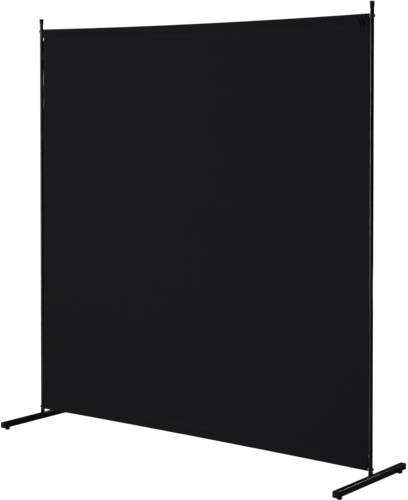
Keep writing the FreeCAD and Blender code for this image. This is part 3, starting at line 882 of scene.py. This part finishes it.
def cloth_material(settings):
    """Black woven polyester: fine plain weave, faint yarn streaks, a little lint and soft sheen.

    The weave's gaps are darkened: painted shade.
    """
    material, tree, shader = new_material("panel_cloth")
    flat = node(tree, "ShaderNodeUVMap", uv_map="cloth_flat").outputs["UV"]
    weave = node(tree, "ShaderNodeGroup", {"Flat": flat}, node_tree=weave_group())
    dark, light, gap_shade_colour = shades(settings.colour, 0.86, 1.16, 0.55)
    yarn = blend(tree, weave.outputs["Yarn Tone"], dark, light)
    # Painted shade: the weave's gaps are darkened towards the deepest tone.
    gap_shade_mask = maths(tree, "MULTIPLY", weave.outputs["Gap Shade"], 0.35)
    lint = node(tree, "ShaderNodeGroup", node_tree=handling_group(), sockets={
        "Vector": node(tree, "ShaderNodeTexCoord").outputs["Object"],
        "Colour": blend(tree, gap_shade_mask, yarn, gap_shade_colour), "Dust Colour": (0.055, 0.055, 0.057, 1),
        "Dust": 0.04, "Roughness": 0.84, "Unevenness": 0.10})
    fill(shader, {
        "Base Color": lint.outputs["Colour"], "Roughness": lint.outputs["Roughness"],
        "Normal": bumps(tree, weave.outputs["Height"], 0.5, 0.00008),
        "Specular IOR Level": 0.12, "Sheen Weight": 0.025, "Sheen Roughness": 0.45,
        "Sheen Tint": (0.55, 0.55, 0.60, 1)})
    return material


def thread_material(settings):
    """Spun sewing thread: a fine slanted twist with painted light and shade, and a soft sheen."""
    material, tree, shader = new_material("sewing_thread")
    turn = node(tree, "ShaderNodeMapping", {
        "Vector": node(tree, "ShaderNodeTexCoord").outputs["Object"],
        "Rotation": (0.0, math.radians(35.0), 0.0)})
    twist = node(tree, "ShaderNodeTexWave", bands_direction="X", sockets={
        "Vector": turn.outputs["Vector"], "Scale": 1300.0, "Distortion": 1.2,
        "Detail": 1.0}).outputs["Fac"]
    # Painted light and shade: the twist's crests are lighter and its grooves darker.
    fill(shader, {
        "Base Color": blend(tree, twist, *shades(settings.thread_colour, 0.7, 1.5)),
        "Normal": bumps(tree, twist, 0.4, 0.00005), "Roughness": 0.55,
        "Specular IOR Level": 0.35, "Sheen Weight": 0.1})
    return material


class FinishFrame(bpy.types.Operator):
    """Paint the tubes and give the plastics and fixings their finish"""

    bl_idname = "divider.finish_frame"
    bl_label = "Finish the Frame"

    def execute(self, context):
        tones = context.scene.divider_finish
        rows = (
            ("frame_paint", tones.paint, tones.paint_roughness,
             dict(uneven=0.07, dust=0.02, grain=1500.0, depth=0.00003, sharpness=0.15, coat=0.2)),
            ("cap_plastic", tones.plastic, 0.46,
             dict(uneven=0.10, dust=0.05, grain=2600.0, depth=0.00006, sharpness=0.6,
                  specular=0.40)),
            ("plug_plastic", tones.plastic, 0.50,
             dict(uneven=0.10, dust=0.06, grain=2200.0, depth=0.00006, sharpness=0.6,
                  specular=0.25)),
            ("glide_plastic", tones.plastic, 0.50,
             dict(uneven=0.12, dust=0.10, grain=1900.0, depth=0.00008, sharpness=0.7,
                  specular=0.40)),
            ("zinc", tones.zinc, 0.30,
             dict(uneven=0.22, dust=0.10, grain=700.0, depth=0.00002, sharpness=0.8,
                  metallic=1.0, dust_colour=(0.35, 0.34, 0.30))),
        )
        finishes = {name: coated_material(name, colour, roughness, **skin)
                    for name, colour, roughness, skin in rows}
        slot_of = {part["node"]: part["material_slot"] for part in frame["record"]["subparts"]}
        for name, piece in frame["nodes"].items():
            if name == "fabric_panel":
                continue
            if not piece.material_slots:
                raise RuntimeError("no material slot on " + name)
            for place in piece.material_slots:
                place.material = finishes[slot_of[name]]
        return {"FINISHED"}


# The cross rods' halves, the pieces each is cut into so that it can bow, the distance at which its
# loose triangles are merged, and the sharpest edge that still looks round.
ROD_HALVES = tuple((level, side) for level in LEVELS for side in ("left", "right"))
ROD_STEPS = 14
MERGE = 0.00001
ROUND_EDGE = math.radians(35.0)


class BowRods(bpy.types.Operator):
    """Bow the cross rods a little, as the stretched cloth draws them together"""

    bl_idname = "divider.bow_rods"
    bl_label = "Bow the Rods"

    def execute(self, context):
        sew = Sewing(context.scene.divider_cloth)
        for level, side in ROD_HALVES:
            name = "%s_rod_%s" % (level, side)
            pick(frame["nodes"][name])
            bpy.ops.object.duplicate()
            rod = context.active_object
            rod.name = "%s_%s_bowed_rod" % (level, side)
            low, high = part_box(name)
            bpy.ops.object.mode_set(mode="EDIT")
            bpy.ops.mesh.select_all(action="SELECT")
            bpy.ops.mesh.remove_doubles(threshold=MERGE)
            for step in range(1, ROD_STEPS):
                spot = low.x + (high.x - low.x) * step / ROD_STEPS
                bpy.ops.mesh.select_all(action="SELECT")
                bpy.ops.mesh.bisect(plane_co=(spot, 0, 0), plane_no=(1, 0, 0))
            bpy.ops.object.mode_set(mode="OBJECT")
            bow_mesh(sew, rod.data)
            bpy.ops.object.shade_smooth_by_angle(angle=ROUND_EDGE)
            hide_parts(name)
            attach(rod, "frame")
        return {"FINISHED"}


# ----------------------------------------
# Studio
# ----------------------------------------


# Soft boxes: name, place, point aimed at, size, the setting that gives its power, the share of it,
# and whether gloss or the surfaces' even tone shows it.
SOFT_BOXES = (
    ("key_box", (-2.3, -2.7, 1.15), (0.2, 0, 0.9), (0.55, 2.1), "key", 1.0, "gloss"),
    ("rear_box", (-1.9, 2.7, 1.3), (0, 0, 0.9), (0.5, 2.0), "key", 0.6, "gloss"),
    ("high_box", (1.5, 3.8, 3.1), (0.8, 0, 0.0), (2.4, 0.8), "rim", 1.0, "gloss"),
    ("ridge_box", (1.21, 0.83, 0.64), (0.875, -0.15, 0.03), (0.16, 0.16), "ridge", 1.0, "gloss"),
    ("upper_box", (-0.2, -3.4, 2.6), (0.0, 0.0, 1.2), (2.2, 1.4), "upper", 1.0, "tone"),
    ("back_upper_box", (0.2, 3.4, 2.6), (0.0, 0.0, 1.2), (2.2, 1.4), "upper", 0.8, "tone"),
)
# Even lights from far away: name, turn from straight in front, height above the horizon (both in
# degrees) and the share of the setting.
WIDE_LIGHTS = (("front_light", -52.0, 20.0, 1.0), ("rear_light", 140.0, 25.0, 0.8))
WIDE_SOFTNESS = math.radians(14.0)
# White of the floor and of the wall as the camera sees them, and the floor's own tone, which is
# darker in the gloss.
FLOOR_WHITE = 0.88
WALL_WHITE = 1.05
FLOOR_TONE = (0.30, 0.30, 0.30)
FLOOR_IN_GLOSS = (0.06, 0.06, 0.06)


def add_light(name, kind, power):
    """Light in the scene, and its object."""
    light = bpy.data.lights.new(name, kind)
    light.energy = power
    lamp = bpy.data.objects.new(name, light)
    bpy.context.scene.collection.objects.link(lamp)
    return light, lamp


def soft_box(name, place, target, size, power, shows):
    """Rectangular soft box aimed at a point."""
    light, lamp = add_light(name, "AREA", power)
    light.shape = "RECTANGLE"
    light.size, light.size_y = size
    lamp.location = place
    lamp.rotation_euler = (Vector(target) - Vector(place)).to_track_quat("-Z", "Y").to_euler()
    lamp.visible_camera = False
    lamp.visible_glossy = shows == "gloss"
    lamp.visible_diffuse = shows == "tone"


def wide_light(name, turn, height, power):
    """Even soft light from far away."""
    light, lamp = add_light(name, "SUN", power)
    light.angle = WIDE_SOFTNESS
    lamp.rotation_euler = Euler((math.pi / 2 - height, 0.0, turn), "XYZ")
    lamp.visible_glossy = False


def floor_material(stage):
    """Pale floor that lights the screen softly, with a strip that shows in the feet's gloss."""
    material, tree, shader = new_material("studio_floor")
    place = node(tree, "ShaderNodeTexCoord").outputs["Object"]
    ray = node(tree, "ShaderNodeLightPath")
    centre = node(tree, "ShaderNodeMapping",
                  {"Vector": place, "Location": (-stage.glow_right, 0.6, 0.0)})
    away = node(tree, "ShaderNodeVectorMath", {0: centre.outputs["Vector"]}, operation="LENGTH")
    pool = ramp(tree, away.outputs["Value"], (1.2, 4.0), (stage.floor_glow, 0.03), "SMOOTHSTEP")
    spot = node(tree, "ShaderNodeSeparateXYZ", {0: place})
    width = maths(tree, "MULTIPLY",
                  ramp(tree, spot.outputs["X"], (-0.9, -0.3), (0.0, 1.0), "SMOOTHSTEP"),
                  ramp(tree, spot.outputs["X"], (0.55, 0.84), (0.8, 0.0), "SMOOTHSTEP"))
    strip = maths(tree, "MULTIPLY", width,
                  ramp(tree, spot.outputs["Y"], (-0.35, -0.05), (1.0, 0.0), "SMOOTHSTEP"))
    light = blend(tree, ray.outputs["Is Glossy Ray"], pool, strip, "FLOAT")
    fill(shader, {
        "Base Color": blend(tree, ray.outputs["Is Glossy Ray"], FLOOR_TONE, FLOOR_IN_GLOSS),
        "Roughness": 0.9, "Specular IOR Level": 0.1, "Emission Color": (1, 1, 1, 1),
        "Emission Strength": blend(tree, ray.outputs["Is Camera Ray"], light, FLOOR_WHITE,
                                   "FLOAT")})
    return material


def studio_world(stage):
    """White surroundings for the camera, and dimmer ones for light and for gloss."""
    world = bpy.data.worlds.new("studio")
    world.use_nodes = True
    tree = world.node_tree
    tree.nodes.clear()
    seen, lit, mirrored = [
        node(tree, "ShaderNodeBackground", {"Color": (1, 1, 1, 1), "Strength": strength}).outputs[0]
        for strength in (WALL_WHITE, stage.ambient, stage.reflection)]
    ray = node(tree, "ShaderNodeLightPath")
    unseen = node(tree, "ShaderNodeMixShader",
                  {0: ray.outputs["Is Glossy Ray"], 1: lit, 2: mirrored}).outputs[0]
    walls = node(tree, "ShaderNodeMixShader", {0: ray.outputs["Is Camera Ray"], 1: unseen, 2: seen})
    node(tree, "ShaderNodeOutputWorld", {"Surface": walls.outputs[0]})
    return world


def place_camera(stage):
    """Camera with a shifted lens."""
    lens = bpy.data.cameras.new("camera")
    lens.lens = stage.lens
    lens.sensor_width = 36.0
    lens.shift_y = stage.shift
    lens.clip_start, lens.clip_end = 0.05, 400.0
    camera = bpy.data.objects.new("camera", lens)
    camera.location = stage.camera_place
    camera.rotation_euler = Euler((math.pi / 2 - stage.tilt, 0.0, stage.azimuth), "XYZ")
    bpy.context.scene.collection.objects.link(camera)
    return camera


class SetStage(bpy.types.Operator):
    """Lay the floor, set the lights and place the camera"""

    bl_idname = "divider.set_stage"
    bl_label = "Set the Stage"

    def execute(self, context):
        scene = context.scene
        stage = scene.divider_stage
        bpy.ops.object.select_all(action="DESELECT")
        bpy.ops.mesh.primitive_plane_add(size=400.0, location=(0, 0, 0))
        floor = context.active_object
        floor.name = "studio_floor"
        floor.data.materials.append(floor_material(stage))
        scene.world = studio_world(stage)
        for name, place, target, size, setting, share, shows in SOFT_BOXES:
            soft_box(name, place, target, size, getattr(stage, setting) * share, shows)
        for name, turn, height, share in WIDE_LIGHTS:
            wide_light(name, math.radians(turn), math.radians(height), stage.wide * share)
        scene.camera = place_camera(stage)
        scene.view_settings.view_transform = "Standard"
        return {"FINISHED"}


class DividerPanel(bpy.types.Panel):
    """Settings and building steps of the screen, in the sidebar"""

    bl_idname = "VIEW3D_PT_room_divider"
    bl_label = "Room Divider"
    bl_space_type = "VIEW_3D"
    bl_region_type = "UI"
    bl_category = "Room Divider"

    def draw(self, context):
        for word, group in SETTINGS:
            box = self.layout.box()
            settings = getattr(context.scene, word)
            for name in group.__annotations__:
                box.prop(settings, name)
        for operator in OPERATORS:
            self.layout.operator(operator.bl_idname)


SETTINGS = (("divider_cloth", ClothSettings), ("divider_finish", FinishSettings),
            ("divider_stage", StageSettings))
OPERATORS = (SetStage, FinishFrame, BowRods, SewPanel, StitchSeams)


def register():
    """Add the settings, the operators and the panel."""
    for word, group in SETTINGS:
        bpy.utils.register_class(group)
        setattr(bpy.types.Scene, word, bpy.props.PointerProperty(type=group))
    for part in OPERATORS + (DividerPanel,):
        bpy.utils.register_class(part)


def unregister():
    """Take everything away again."""
    for part in reversed(OPERATORS + (DividerPanel,)):
        bpy.utils.unregister_class(part)
    for word, group in reversed(SETTINGS):
        delattr(bpy.types.Scene, word)
        bpy.utils.unregister_class(group)


def main():
    """Build everything and note the sizes."""
    register()
    bpy.ops.divider.set_stage()
    bpy.ops.divider.finish_frame()
    bpy.ops.divider.bow_rods()
    bpy.ops.divider.sew_panel()
    bpy.ops.divider.stitch_seams()


if __name__ == "__main__":
    main()
